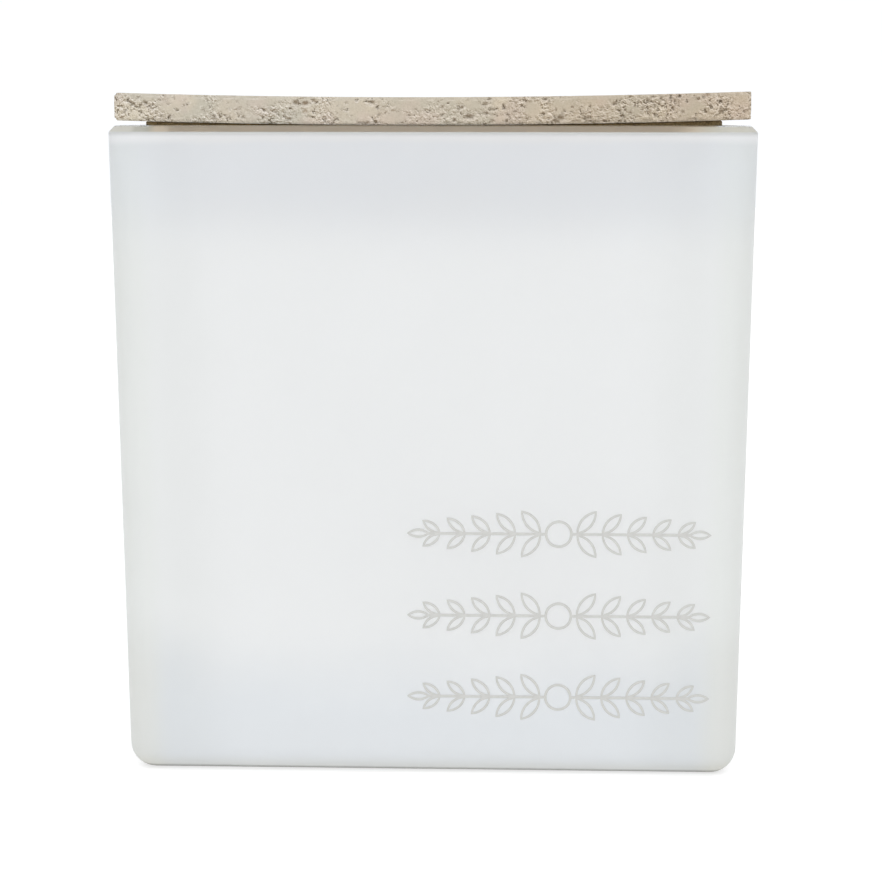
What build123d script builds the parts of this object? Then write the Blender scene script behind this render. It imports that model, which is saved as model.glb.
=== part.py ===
from build123d import *
import math
import os

# Square unity candle: a thick frosted-glass jar with poured wax and four wicks,
# closed by a thin stone slab with a locating plate and a silicone seal.
# Millimetres. +Z up, front face towards -Y, origin under the middle of the foot.

# ---- glass jar
TOP_W = 152.0            # outside width across the flats at the rim
JAR_H = 154.3            # height of the glass alone
DRAFT = 1.13             # degrees per side: the jar narrows towards its foot
EDGE_R = 6.4             # upright outside edges
FOOT_R = 5.9             # edge between the sides and the underside
WALL = 7.2               # wall thickness
RIM_BEVEL = 1.6          # 45 degree bevel round the outside of the rim
RIM_BEVEL_TOP_R = 0.8    # softened edge between the bevel and the rim's flat
RIM_BEVEL_LOW_R = 0.4    # crisper edge between the bevel and the sides
RIM_R_IN = 2.0           # rounding of the rim, inside
FLOOR_T = 16.0           # thickness of the glass floor
CAV_EDGE_R_LOW = 9.0     # upright inside edges, at the floor
CAV_EDGE_R_TOP = 4.0     # and at the rim: they get tighter upwards
CAV_FLOOR_R = 7.0        # inside edge between floor and walls

# ---- wax and wicks
WAX_LEVEL = 131.5        # height of the wax surface above the foot
WAX_GAP = 0.05           # all-round gap between wax and glass
WICK_PITCH = 66.0        # centre to centre, 2 x 2
WICK_D = 2.8
WICK_OUT = 8.5           # length above the wax
TAB_D = 20.0             # sustainer disc
TAB_T = 0.4
TAB_RIM_H = 0.9          # turned-up rim of the disc
NECK_D = 4.4
NECK_H = 8.0
STICKER_D = 18.0
STICKER_T = 1.0

# ---- lid
LID_W = 148.2            # slab across the flats
LID_T = 6.45
LID_BOW = 1.18           # rise of the underside over half the slab's width
LID_BOW_X = -5.3         # where across the slab the underside is lowest
LID_CORNER_R = 1.6
LID_EDGE_R = 0.7
LID_GAP = 0.1            # under the slab's lowest line, above the rim
PLUG_W = 136.0
PLUG_EDGE_R = 4.0
PLUG_BELOW_RIM = 7.0
GROOVE_D = 1.6           # depth of the seal's groove
GROOVE_H = 2.6
GROOVE_Z = 1.7           # from the plug's underside to the groove
SEAL_W = 136.8           # across the seal's lip

# ---- printed rows on the front face
ROW_X0 = -5.6
ROW_X1 = 66.2
ROW_Z = (58.6, 38.9, 19.2)   # height of each row's middle above the foot
INK_T = 0.10
INK_W = 0.62             # width of a printed line

t = math.tan(math.radians(DRAFT))


def outside_w(z):
    return TOP_W - 2 * (JAR_H - z) * t


def cavity_edge_r(z):
    k = (z - FLOOR_T) / (JAR_H - FLOOR_T)
    return CAV_EDGE_R_LOW + (CAV_EDGE_R_TOP - CAV_EDGE_R_LOW) * k


def drafted_block(z0, z1, w0, w1, r0, r1):
    low = Plane.XY.offset(z0) * RectangleRounded(w0, w0, r0)
    high = Plane.XY.offset(z1) * RectangleRounded(w1, w1, r1)
    return loft([low, high], ruled=True)


# ------------------------------------------------------------------ glass jar
body = drafted_block(0, JAR_H, outside_w(0), outside_w(JAR_H), EDGE_R, EDGE_R)
body = fillet(body.edges().group_by(Axis.Z)[0], FOOT_R)
body = chamfer(body.edges().group_by(Axis.Z)[-1], RIM_BEVEL)
body = fillet(body.edges().group_by(Axis.Z)[-1], RIM_BEVEL_TOP_R)
low_loop = [
    e for e in body.edges()
    if abs(e.center().Z - (JAR_H - RIM_BEVEL)) < 0.1 and abs(e.tangent_at(0.5).Z) < 0.2
]
body = fillet(low_loop, RIM_BEVEL_LOW_R)

cavity = drafted_block(
    FLOOR_T, JAR_H + 6,
    outside_w(FLOOR_T) - 2 * WALL, outside_w(JAR_H + 6) - 2 * WALL,
    cavity_edge_r(FLOOR_T), cavity_edge_r(JAR_H + 6),
)
cavity = fillet(cavity.edges().group_by(Axis.Z)[0], CAV_FLOOR_R)
jar = body - cavity
mouth = [
    e for e in jar.edges()
    if abs(e.center().Z - JAR_H) < 1e-3
    and max(abs(e.center().X), abs(e.center().Y)) < TOP_W / 2 - WALL + 0.5
]
glass_vessel = fillet(mouth, RIM_R_IN)

# ---------------------------------------------------------------- wax, wicks
wick_at = [
    (sx * WICK_PITCH / 2, sy * WICK_PITCH / 2)
    for sy in (-1, 1) for sx in (-1, 1)
]
wax_core = drafted_block(
    FLOOR_T + WAX_GAP, WAX_LEVEL,
    outside_w(FLOOR_T) - 2 * WALL - 2 * WAX_GAP,
    outside_w(WAX_LEVEL) - 2 * WALL - 2 * WAX_GAP,
    cavity_edge_r(FLOOR_T) - WAX_GAP, cavity_edge_r(WAX_LEVEL) - WAX_GAP,
)
wax_fill = fillet(wax_core.edges().group_by(Axis.Z)[0], CAV_FLOOR_R)

tab_z = FLOOR_T + STICKER_T
wick_top = WAX_LEVEL + WICK_OUT
stickers, tabs, wicks = [], [], []
for x, y in wick_at:
    here = Location((x, y, 0))
    sticker = here * Pos(0, 0, FLOOR_T) * Cylinder(
        STICKER_D / 2, STICKER_T, align=(Align.CENTER, Align.CENTER, Align.MIN))
    disc = here * Pos(0, 0, tab_z) * Cylinder(
        TAB_D / 2, TAB_RIM_H, align=(Align.CENTER, Align.CENTER, Align.MIN))
    dish = here * Pos(0, 0, tab_z + TAB_T) * Cylinder(
        TAB_D / 2 - TAB_T, TAB_RIM_H, align=(Align.CENTER, Align.CENTER, Align.MIN))
    neck = here * Pos(0, 0, tab_z) * Cylinder(
        NECK_D / 2, NECK_H, align=(Align.CENTER, Align.CENTER, Align.MIN))
    flare = here * Pos(0, 0, tab_z + TAB_T) * Cone(
        NECK_D / 2 + 1.4, NECK_D / 2 - 0.01, 1.4, align=(Align.CENTER, Align.CENTER, Align.MIN))
    hole = here * Pos(0, 0, tab_z - 1) * Cylinder(
        WICK_D / 2 + 0.05, NECK_H + 2, align=(Align.CENTER, Align.CENTER, Align.MIN))
    tab = (disc - dish) + neck + flare - hole
    wick = here * Pos(0, 0, tab_z) * Cylinder(
        WICK_D / 2, wick_top - tab_z, align=(Align.CENTER, Align.CENTER, Align.MIN))
    wick = chamfer(wick.edges().group_by(Axis.Z)[-1], 0.3)
    # room in the wax for the pad, the sustainer and the wick
    wax_fill -= here * Pos(0, 0, FLOOR_T - 1) * Cylinder(
        TAB_D / 2 + 0.05, 1 + STICKER_T + TAB_RIM_H + 0.05,
        align=(Align.CENTER, Align.CENTER, Align.MIN))
    wax_fill -= here * Pos(0, 0, tab_z) * Cylinder(
        NECK_D / 2 + 1.5, TAB_T + 1.5, align=(Align.CENTER, Align.CENTER, Align.MIN))
    wax_fill -= here * Pos(0, 0, tab_z) * Cylinder(
        NECK_D / 2 + 0.05, NECK_H + 0.05, align=(Align.CENTER, Align.CENTER, Align.MIN))
    wax_fill -= here * Pos(0, 0, tab_z) * Cylinder(
        WICK_D / 2 + 0.05, WAX_LEVEL, align=(Align.CENTER, Align.CENTER, Align.MIN))
    stickers.append(sticker)
    tabs.append(tab)
    wicks.append(wick)

# ------------------------------------------------------------------------ lid
half = LID_W / 2
slab_z = JAR_H + LID_GAP                  # lowest line of the underside


def bow(x):
    return LID_BOW * ((x - LID_BOW_X) / half) ** 2


def bowed_plate(z_low, thick, width, x_half):
    """Plate curved about Y, its lowest line LID_BOW_X from the middle."""
    low = ThreePointArc(
        (-x_half, 0, z_low + bow(-x_half)), (0, 0, z_low + bow(0)),
        (x_half, 0, z_low + bow(x_half)))
    high = ThreePointArc(
        (x_half, 0, z_low + thick + bow(x_half)), (0, 0, z_low + thick + bow(0)),
        (-x_half, 0, z_low + thick + bow(-x_half)))
    right = Line(low @ 1, high @ 0)
    left = Line(high @ 1, low @ 0)
    face = make_face([low, right, high, left])
    return extrude(face, amount=width / 2, dir=(0, 1, 0), both=True)


slab = bowed_plate(slab_z, LID_T, LID_W, half)
upright = [e for e in slab.edges().filter_by(Axis.Z) if e.length > 4]
slab = fillet(upright, LID_CORNER_R)
rims = [e for e in slab.edges() if abs(e.tangent_at(0.5).Z) < 0.3]
lid_slab = fillet(rims, LID_EDGE_R)

# the plate under the slab: flat below, bonded to the slab's curved underside
plug_z0 = JAR_H - PLUG_BELOW_RIM
plug = extrude(
    Plane.XY.offset(plug_z0) * RectangleRounded(PLUG_W, PLUG_W, PLUG_EDGE_R),
    amount=PLUG_BELOW_RIM + LID_GAP + LID_BOW + 2)
plug = chamfer(plug.edges().group_by(Axis.Z)[0], 0.8)
above = bowed_plate(slab_z, 12.0, LID_W + 20, half)
plug -= above
groove_z = plug_z0 + GROOVE_Z
ring_in_w = PLUG_W - 2 * GROOVE_D


def ring(w_out, r_out, w_in, r_in, z, h):
    outer = Plane.XY.offset(z) * RectangleRounded(w_out, w_out, r_out)
    inner = Plane.XY.offset(z) * RectangleRounded(w_in, w_in, r_in)
    return extrude(outer - inner, amount=h)


groove = ring(PLUG_W + 4, PLUG_EDGE_R + 2, ring_in_w, PLUG_EDGE_R - GROOVE_D, groove_z, GROOVE_H)
lid_plug = plug - groove
seal = ring(
    SEAL_W, PLUG_EDGE_R + (SEAL_W - PLUG_W) / 2,
    ring_in_w + 0.1, PLUG_EDGE_R - GROOVE_D + 0.05,
    groove_z + 0.05, GROOVE_H - 0.1)
lip = [
    e for e in seal.edges().group_by(Axis.Z)[0] + seal.edges().group_by(Axis.Z)[-1]
    if max(abs(e.center().X), abs(e.center().Y)) > PLUG_W / 2 - 0.2
    or (abs(e.center().X) > 60 and abs(e.center().Y) > 60
        and math.hypot(abs(e.center().X) - (PLUG_W / 2 - PLUG_EDGE_R),
                       abs(e.center().Y) - (PLUG_W / 2 - PLUG_EDGE_R)) > PLUG_EDGE_R)
]
lid_seal = chamfer(lip, 0.7)

# --------------------------------------------------------------- printed rows
# Each row is one connected line drawing: a ring in the middle and a sprig of
# paired, outlined leaves to each side of it.
LEAF_L = 7.3             # the leaves next to the ring; they shorten outwards
LEAF_L_END = 5.4
LEAF_SLIM = 0.42         # width over length
LEAF_TILT = 50.0         # degrees from the stem, next to the ring
LEAF_TILT_END = 36.0
LEAF_PAIRS = 5
RING_R = 3.3
row_half = (ROW_X1 - ROW_X0) / 2


def lens(length, width, x0=0.0):
    up = ThreePointArc((x0, 0), (x0 + length / 2, width / 2), (x0 + length, 0))
    down = ThreePointArc((x0 + length, 0), (x0 + length / 2, -width / 2), (x0, 0))
    return make_face([up, down])


def leaf(length):
    width = length * LEAF_SLIM
    return lens(length, width) - lens(length - 2.3 * INK_W, width - 1.9 * INK_W, 1.15 * INK_W)


def sprig():
    """From the ring to the row's right end, leaves leaning outwards."""
    stem_end = row_half - LEAF_L_END + 0.4
    art = Pos((RING_R - INK_W / 2 + stem_end) / 2, 0) * Rectangle(
        stem_end - RING_R + INK_W / 2, INK_W)
    first = RING_R + 0.9
    last = stem_end - 3.0
    for i in range(LEAF_PAIRS):
        k = i / (LEAF_PAIRS - 1)
        x = first + (last - first) * k
        length = LEAF_L + (LEAF_L_END - LEAF_L) * k
        tilt = LEAF_TILT + (LEAF_TILT_END - LEAF_TILT) * k
        for side in (1, -1):
            art += Pos(x, 0) * Rot(0, 0, side * tilt) * leaf(length)
    art += Pos(stem_end - 0.4, 0) * leaf(LEAF_L_END)
    return art


ring_art = Circle(RING_R) - Circle(RING_R - INK_W)
right_art = sprig()
row_art = ring_art + right_art + mirror(right_art, Plane.YZ)


def printed_row(z_mid):
    # the front face leans in by the draft angle towards the foot
    y = -outside_w(z_mid) / 2
    face_plane = Plane(
        origin=((ROW_X0 + ROW_X1) / 2, y, z_mid),
        x_dir=(1, 0, 0),
        z_dir=(0, -math.cos(math.radians(DRAFT)), -math.sin(math.radians(DRAFT))),
    )
    return extrude(face_plane * row_art, amount=INK_T)


rows = [printed_row(z) for z in ROW_Z]

# --------------------------------------------------------------------- output
nodes = {
    "glass_vessel": glass_vessel,
    "wax_fill": wax_fill,
    "lid_slab": lid_slab,
    "lid_plug": lid_plug,
    "lid_seal": lid_seal,
}
for i in range(4):
    nodes[f"wick_{i + 1}"] = wicks[i]
    nodes[f"wick_tab_{i + 1}"] = tabs[i]
    nodes[f"wick_sticker_{i + 1}"] = stickers[i]
for i, r in enumerate(rows):
    nodes[f"ornament_row_{i + 1}"] = r

os.makedirs("parts", exist_ok=True)
for name, shape in nodes.items():
    solids = shape.solids()
    out = solids[0] if len(solids) == 1 else Compound(children=list(solids))
    out.label = name
    export_step(out, f"parts/{name}.step")
    print(name, "solids", len(solids), "volume", round(shape.volume, 1), "mm3")
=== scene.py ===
import math

import bmesh
import bpy
import numpy as np
import mathutils
from mathutils import Matrix, Vector, noise


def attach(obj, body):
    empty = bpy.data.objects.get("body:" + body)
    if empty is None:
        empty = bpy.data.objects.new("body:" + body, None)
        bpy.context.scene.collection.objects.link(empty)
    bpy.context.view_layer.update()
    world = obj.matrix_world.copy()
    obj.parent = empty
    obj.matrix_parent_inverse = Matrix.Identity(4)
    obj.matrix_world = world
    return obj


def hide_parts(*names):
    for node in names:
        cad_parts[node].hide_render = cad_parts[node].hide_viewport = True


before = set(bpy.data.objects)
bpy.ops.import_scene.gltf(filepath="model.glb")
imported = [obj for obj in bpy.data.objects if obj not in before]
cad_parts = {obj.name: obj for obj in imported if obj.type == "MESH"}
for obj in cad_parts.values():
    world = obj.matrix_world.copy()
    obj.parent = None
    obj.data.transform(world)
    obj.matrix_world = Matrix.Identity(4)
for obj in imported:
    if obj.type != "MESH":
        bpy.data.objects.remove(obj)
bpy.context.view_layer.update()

MM = 0.001
scene = bpy.context.scene
scene.view_settings.view_transform = "Standard"
scene.view_settings.look = "None"

# ---------------------------------------------------------------- dimensions (mm)
TOP_W, JAR_H, DRAFT = 152.0, 154.3, math.tan(math.radians(1.13))
EDGE_R, FOOT_R, WALL = 6.4, 5.9, 7.2
BEVEL, BEVEL_TOP_R, BEVEL_LOW_R, RIM_IN = 1.6, 0.8, 0.4, 2.0
FLOOR_T, CAV_R_LOW, CAV_R_TOP, CAV_FLOOR_R = 16.0, 9.0, 4.0, 7.0
WAX_LEVEL, WAX_GAP = 131.5, 0.05
WICK_AT, WICK_R, WICK_TOP, WICK_FOOT = 33.0, 1.4, 140.0, 17.0
LID_W, LID_T, LID_BOW, LID_BOW_X, LID_GAP = 148.2, 6.45, 1.18, -5.3, 0.1
LID_CORNER_R, LID_EDGE_R = 1.6, 0.7
PLUG_W, PLUG_EDGE_R, PLUG_Z0 = 136.0, 4.0, JAR_H - 7.0
GROOVE_Z0, GROOVE_Z1, GROOVE_D = 149.0, 151.6, 1.6
SEAL_W, SEAL_Z0, SEAL_Z1 = 136.8, 149.05, 151.55


def half_w(z):
    return TOP_W / 2 - (JAR_H - z) * DRAFT


def cav_r(z):
    return CAV_R_LOW + (CAV_R_TOP - CAV_R_LOW) * (z - FLOOR_T) / (JAR_H - FLOOR_T)


def bow(x):
    return LID_BOW * ((x - LID_BOW_X) / (LID_W / 2)) ** 2


# ------------------------------------------------------------------ mesh helpers
def ring(hw, r, n_side, n_corner, cx=0.0, cy=0.0):
    """Points of a rounded square, anticlockwise from the front side's left end."""
    r = max(min(r, hw), 1e-4)
    s = hw - r
    pts = []
    for k, (ux, uy) in enumerate(((1, 0), (0, 1), (-1, 0), (0, -1))):
        nx, ny = uy, -ux                      # outward normal of this side
        for i in range(n_side):
            t = -s + 2 * s * i / n_side
            pts.append((cx + ux * t + nx * hw, cy + uy * t + ny * hw))
        ox, oy = ux * s + nx * s, uy * s + ny * s
        a0 = math.atan2(ny, nx)
        for i in range(n_corner):
            a = a0 + math.pi / 2 * i / n_corner
            pts.append((cx + ox + r * math.cos(a), cy + oy + r * math.sin(a)))
    return np.array(pts)


def arc(cx, cz, r, a0, a1, n):
    """Points (x, z) on an arc, degrees, both ends in."""
    return [
        (cx + r * math.cos(math.radians(a)), cz + r * math.sin(math.radians(a)))
        for a in np.linspace(a0, a1, n)
    ]


def make_object(name, verts, faces, mats, face_mat=None, smooth=True):
    mesh = bpy.data.meshes.new(name)
    mesh.from_pydata([tuple(v) for v in verts], [], faces)
    for m in mats:
        mesh.materials.append(m)
    if face_mat is not None:
        mesh.polygons.foreach_set("material_index", np.asarray(face_mat, np.int32))
    if smooth:
        mesh.polygons.foreach_set("use_smooth", np.ones(len(mesh.polygons), bool))
    mesh.update()
    obj = bpy.data.objects.new(name, mesh)
    scene.collection.objects.link(obj)
    return obj


def loft(rings, first=None, last=None):
    """rings: list of (n, 3) arrays. first and last: centre points that close the ends."""
    n = len(rings[0])
    verts = np.concatenate(rings)
    faces, row = [], []
    for k in range(len(rings) - 1):
        a, b = k * n, (k + 1) * n
        for i in range(n):
            j = (i + 1) % n
            faces.append((a + i, a + j, b + j, b + i))
            row.append(k)
    verts = list(map(tuple, verts))
    if first is not None:
        c = len(verts)
        verts.append(tuple(first))
        for i in range(n):
            faces.append((c, (i + 1) % n, i))
            row.append(-1)
    if last is not None:
        c = len(verts)
        verts.append(tuple(last))
        a = (len(rings) - 1) * n
        for i in range(n):
            faces.append((c, a + i, a + (i + 1) % n))
            row.append(len(rings) - 1)
    return verts, faces, row


# --------------------------------------------------------------- material helpers
class Mat:
    """A small wrapper that builds node materials."""

    def __init__(self, name):
        self.m = bpy.data.materials.new(name)
        self.m.use_nodes = True
        self.nt = self.m.node_tree
        self.nt.nodes.clear()
        self.out = self.nt.nodes.new("ShaderNodeOutputMaterial")

    def node(self, kind, **values):
        n = self.nt.nodes.new(kind)
        for k, v in values.items():
            setattr(n, k, v)
        return n

    def link(self, a, b):
        self.nt.links.new(a, b)

    def put(self, socket, v):
        if isinstance(v, bpy.types.NodeSocket):
            self.link(v, socket)
        else:
            socket.default_value = v

    def math(self, op, a, b=0.0, c=None, clamp=False):
        n = self.node("ShaderNodeMath", operation=op, use_clamp=clamp)
        self.put(n.inputs[0], a)
        self.put(n.inputs[1], b)
        if c is not None:
            self.put(n.inputs[2], c)
        return n.outputs[0]

    def mix(self, fac, a, b, blend="MIX"):
        n = self.node("ShaderNodeMix", data_type="RGBA", blend_type=blend)
        self.put(n.inputs[0], fac)
        for i, v in ((6, a), (7, b)):
            if isinstance(v, tuple):
                v = (*v, 1.0) if len(v) == 3 else v
            self.put(n.inputs[i], v)
        return n.outputs[2]

    def noise(self, vec, scale, detail=3.0, rough=0.5, distort=0.0, dims="3D"):
        n = self.node("ShaderNodeTexNoise", noise_dimensions=dims)
        self.put(n.inputs["Vector"], vec)
        n.inputs["Scale"].default_value = scale
        n.inputs["Detail"].default_value = detail
        n.inputs["Roughness"].default_value = rough
        n.inputs["Distortion"].default_value = distort
        return n.outputs[0]

    def voronoi(self, vec, scale, feature="F1", rand=1.0):
        n = self.node("ShaderNodeTexVoronoi", feature=feature)
        self.put(n.inputs["Vector"], vec)
        n.inputs["Scale"].default_value = scale
        n.inputs["Randomness"].default_value = rand
        return n.outputs["Distance"]

    def cells(self, vec, scale, rand=1.0):
        """Distance to the nearest cell's middle and that cell's own random number."""
        n = self.node("ShaderNodeTexVoronoi", feature="F1")
        self.put(n.inputs["Vector"], vec)
        n.inputs["Scale"].default_value = scale
        n.inputs["Randomness"].default_value = rand
        sep = self.node("ShaderNodeSeparateColor")
        self.link(n.outputs["Color"], sep.inputs[0])
        return n.outputs["Distance"], sep.outputs[0], sep.outputs[1]

    def warp(self, vec, scale, amount, detail=2.0):
        """vec pushed about by a noise: amount is in vec's own units."""
        n = self.node("ShaderNodeTexNoise")
        self.put(n.inputs["Vector"], vec)
        n.inputs["Scale"].default_value = scale
        n.inputs["Detail"].default_value = detail
        a = self.node("ShaderNodeVectorMath", operation="SUBTRACT")
        self.link(n.outputs["Color"], a.inputs[0])
        a.inputs[1].default_value = (0.5, 0.5, 0.5)
        b = self.node("ShaderNodeVectorMath", operation="SCALE")
        self.link(a.outputs[0], b.inputs[0])
        b.inputs["Scale"].default_value = amount
        c = self.node("ShaderNodeVectorMath", operation="ADD")
        self.put(c.inputs[0], vec)
        self.link(b.outputs[0], c.inputs[1])
        return c.outputs[0]

    def xyz(self):
        tc = self.node("ShaderNodeTexCoord")
        sep = self.node("ShaderNodeSeparateXYZ")
        self.link(tc.outputs["Object"], sep.inputs[0])
        return sep.outputs

    def ramp(self, x, a, b, lo=0.0, hi=1.0):
        """Smooth step of x from a to b, giving lo to hi."""
        n = self.node("ShaderNodeMapRange", interpolation_type="SMOOTHSTEP")
        self.put(n.inputs[0], x)
        for i, v in ((1, a), (2, b), (3, lo), (4, hi)):
            self.put(n.inputs[i], v)
        return n.outputs[0]

    def coords(self, scale=(1, 1, 1), rot=(0, 0, 0)):
        tc = self.node("ShaderNodeTexCoord")
        mp = self.node("ShaderNodeMapping")
        mp.inputs["Scale"].default_value = scale
        mp.inputs["Rotation"].default_value = rot
        self.link(tc.outputs["Object"], mp.inputs["Vector"])
        return mp.outputs[0]

    def attribute(self, name):
        n = self.node("ShaderNodeAttribute", attribute_name=name)
        return n.outputs["Fac"]

    def bump(self, height, strength, distance, normal=None):
        n = self.node("ShaderNodeBump")
        n.inputs["Strength"].default_value = strength
        n.inputs["Distance"].default_value = distance
        self.link(height, n.inputs["Height"])
        if normal is not None:
            self.link(normal, n.inputs["Normal"])
        return n.outputs[0]

    def principled(self, color, rough, normal=None, **extra):
        n = self.node("ShaderNodeBsdfPrincipled")
        self.put(n.inputs["Base Color"], (*color, 1.0) if isinstance(color, tuple) else color)
        self.put(n.inputs["Roughness"], rough)
        if normal is not None:
            self.link(normal, n.inputs["Normal"])
        for k, v in extra.items():
            self.put(n.inputs[k.replace("_", " ")], v)
        return n.outputs[0]

    def finish(self, shader):
        self.link(shader, self.out.inputs["Surface"])
        return self.m


# ---------------------------------------------------------------------- materials
STONE_GREY = (0.500, 0.462, 0.372)
STONE_CREAM = (0.560, 0.490, 0.385)
STONE_PALE = (0.655, 0.590, 0.455)
STONE_PINK = (0.575, 0.472, 0.398)
STONE_RIGHTWARD_WARM = (1.000, 0.970, 0.945)
STONE_RIGHTWARD_DULL = (0.910, 0.880, 0.840)
STONE_ARRIS_HIGHLIGHT = (0.535, 0.490, 0.405)
STONE_PALE_SPECK_AND_HIGHLIGHT = (0.830, 0.770, 0.690)
STONE_DARK_SPECK_AND_SHADE = (0.205, 0.147, 0.086)
STONE_PIT_SHADE = (0.125, 0.090, 0.045)
STONE_RUST = (0.230, 0.140, 0.070)
STONE_PLATE = (0.750, 0.595, 0.430)
GLUE_LINE_AND_SHADE = (0.320, 0.225, 0.100)

ROOM_LEVEL, ROOM_TOP, ROOM_FRONT, ROOM_SIDE = 0.88, 0.45, 0.14, 0.14

VEIL_MID_STONE_REFLECTION = (0.540, 0.455, 0.340)
VEIL_SHOULDER_SHADE = (0.315, 0.305, 0.238)
VEIL_END = (0.490, 0.468, 0.395)
SKIN_WAX = (0.952, 0.957, 0.954)
SKIN_HEAD = (0.945, 0.967, 0.993)
SKIN_BASE = (0.828, 0.850, 0.870)
SKIN_SHOULDER_GLASS_AND_SHADE = (0.948, 0.950, 0.945)
SKIN_EDGE_GLASS_AND_SHADE = (0.985, 0.990, 0.975)
SKIN_CORNER_GLASS_AND_SHADE = (0.985, 0.985, 0.975)
SKIN_LINE = (0.985, 0.992, 0.998)
SKIN_CREASE_SHADE = (0.72, 0.72, 0.70)
SKIN_BASE_EDGE = (0.872, 0.872, 0.860)
SKIN_FOOT_SHADE = (0.905, 0.890, 0.850)
SKIN_CONTACT_SHADOW = (0.48, 0.475, 0.465)


def frosted_glass():
    """The jar's white frosted skin. It scatters light both ways, so what stands
    behind it shows softly: warm white over the wax, cooler over the head space
    and the thick floor, greyer over the solid glass at the upright edges, where
    painted shade on the rounding adds to it."""
    m = Mat("frosted_glass")
    co = m.coords()
    x, y, z = m.xyz()
    cloud = m.noise(co, 38.0, 3.0, 0.5)
    grain = m.noise(co, 1900.0, 2.0, 0.6)
    drift = m.math("MULTIPLY", m.math("SUBTRACT", cloud, 0.5), 0.010)
    zz = m.math("ADD", z, drift)
    tone = m.mix(m.ramp(cloud, 0.3, 0.7), SKIN_WAX, tuple(c + 0.006 for c in SKIN_WAX))
    tone = m.mix(m.ramp(zz, 0.122, 0.146), tone, SKIN_HEAD)
    # distance from the nearest upright edge, measured along the face
    near = m.math("MINIMUM", m.math("ABSOLUTE", x), m.math("ABSOLUTE", y))
    half = m.math("ADD", m.math("MULTIPLY", z, DRAFT), (TOP_W / 2 - JAR_H * DRAFT) * MM)
    edge = m.math("SUBTRACT", half, near)
    edge = m.math("ADD", edge, m.math("MULTIPLY", drift, 0.25))
    # the rounded floor of the hollow leaves more solid glass near the corners
    foot = m.math("SUBTRACT", zz, m.ramp(edge, 0.024, 0.006, 0.0, 0.006))
    base = m.mix(m.ramp(edge, 0.012, 0.004), SKIN_BASE, SKIN_BASE_EDGE)
    tone = m.mix(m.ramp(foot, 0.038, 0.012), tone, base)
    # painted shade towards the rounded upright edges, over the greyer solid glass there
    tone = m.mix(m.ramp(edge, 0.0300, 0.0125), tone, SKIN_SHOULDER_GLASS_AND_SHADE, blend="MULTIPLY")
    tone = m.mix(m.ramp(edge, 0.0110, 0.0060), tone, SKIN_EDGE_GLASS_AND_SHADE, blend="MULTIPLY")
    tone = m.mix(m.ramp(edge, 0.0050, 0.0), tone, SKIN_CORNER_GLASS_AND_SHADE, blend="MULTIPLY")
    # light led down the wall shows as a pale line under the bevel
    tone = m.mix(m.ramp(m.math("ADD", z, m.math("MULTIPLY", drift, 0.2)), 0.1496, 0.1516), tone, SKIN_LINE)
    # painted shade along the crease under the bevel
    tone = m.mix(m.ramp(z, 0.1515, 0.1530), tone, SKIN_CREASE_SHADE, blend="MULTIPLY")
    # painted shade on the rounded foot, darker and warmer towards the bottom
    tone = m.mix(m.ramp(z, 0.0048, 0.0004), tone, SKIN_FOOT_SHADE, blend="MULTIPLY")
    # painted shadow: a dark line where the rounded foot meets the table
    line = m.math("MULTIPLY", m.ramp(z, 0.00145, 0.00050), m.ramp(z, 0.000002, 0.00002))
    tone = m.mix(line, tone, SKIN_CONTACT_SHADOW, blend="MULTIPLY")
    rough = m.math("ADD", 0.36, m.math("MULTIPLY", grain, 0.12))
    bump = m.bump(grain, 0.10, 0.00012)
    skin = m.principled(tone, rough, bump, Specular_IOR_Level=0.5)
    through = m.node("ShaderNodeBsdfTranslucent")
    m.link(tone, through.inputs["Color"])
    mix = m.node("ShaderNodeMixShader")
    mix.inputs[0].default_value = 0.42
    m.link(skin, mix.inputs[1])
    m.link(through.outputs[0], mix.inputs[2])
    return m.finish(mix.outputs[0])


def clear_glass(name, ior, rough, tint, wavy=0.05):
    m = Mat(name)
    co = m.coords()
    ripple = m.noise(co, 90.0, 2.0, 0.5)
    bump = m.bump(ripple, wavy, 0.0004)
    r = m.math("ADD", rough, m.math("MULTIPLY", m.noise(co, 700.0, 2.0), 0.05))
    return m.finish(m.principled(tint, r, bump, Transmission_Weight=1.0, IOR=ior))


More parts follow.
